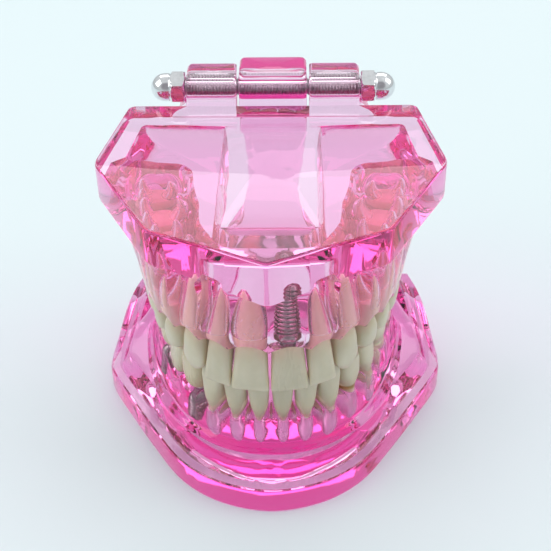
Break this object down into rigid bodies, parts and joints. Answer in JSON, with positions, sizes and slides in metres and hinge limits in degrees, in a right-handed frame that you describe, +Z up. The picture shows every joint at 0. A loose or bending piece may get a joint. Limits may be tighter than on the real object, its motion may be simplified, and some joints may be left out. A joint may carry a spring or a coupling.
{
  "type": "typodont model",
  "caption": "Hinged teaching model of an adult mouth: clear pink resin jaws with separate rooted teeth, implants and a bridge, opening on a rear pin.",
  "frame": {"origin": "centre of the bounding box at the table, under the lower base", "axes": "+Z up, front teeth towards -Y, hinge pin along X at the back, the mouth's right side at -X"},
  "size_m": [0.078, 0.0796, 0.0682],
  "materials": {
    "upper_resin": "polished, transparent, pale pink to lavender",
    "lower_resin": "polished, transparent, deeper magenta pink",
    "tooth_ivory": "satin enamel, warm ivory, beige roots",
    "crown_porcelain": "glazed, slightly whiter ivory",
    "implant_titanium": "turned grey titanium",
    "abutment_metal": "machined",
    "pin_steel": "plain threaded rod",
    "nut_chrome": "polished chrome plate"
  },
  "bodies": {
    "lower_jaw": {"lower_base": "lower_resin", "lower_right_central_incisor": "tooth_ivory", "lower_right_lateral_incisor": "tooth_ivory", "lower_right_canine": "tooth_ivory", "lower_right_second_molar": "tooth_ivory", "lower_left_central_incisor": "tooth_ivory", "lower_left_lateral_incisor": "tooth_ivory", "lower_left_canine": "tooth_ivory", "lower_left_first_premolar": "tooth_ivory", "lower_left_second_premolar": "tooth_ivory", "lower_left_first_molar": "tooth_ivory", "lower_left_second_molar": "tooth_ivory", "lower_right_bridge": "crown_porcelain", "lower_front_implant": "implant_titanium", "lower_front_abutment": "abutment_metal", "lower_rear_implant": "implant_titanium", "lower_rear_abutment": "abutment_metal"},
    "upper_jaw": {"upper_base": "upper_resin", "upper_right_central_incisor": "tooth_ivory", "upper_right_lateral_incisor": "tooth_ivory", "upper_right_canine": "tooth_ivory", "upper_right_first_premolar": "tooth_ivory", "upper_right_second_premolar": "tooth_ivory", "upper_right_first_molar": "tooth_ivory", "upper_right_second_molar": "tooth_ivory", "upper_left_lateral_incisor": "tooth_ivory", "upper_left_canine": "tooth_ivory", "upper_left_first_premolar": "tooth_ivory", "upper_left_second_premolar": "tooth_ivory", "upper_left_first_molar": "tooth_ivory", "upper_left_second_molar": "tooth_ivory", "upper_left_central_implant_crown": "crown_porcelain", "upper_implant": "implant_titanium", "upper_abutment": "abutment_metal", "hinge_pin": "pin_steel", "domed_nut_left": "nut_chrome", "domed_nut_right": "nut_chrome"}
  },
  "joints": [
    {"name": "jaw_hinge", "type": "hinge", "parent": "lower_jaw", "child": "upper_jaw", "pos_m": [0, 0.034, 0.063], "axis": [-1, 0, 0], "range_deg": [0, 58]}
  ]
}
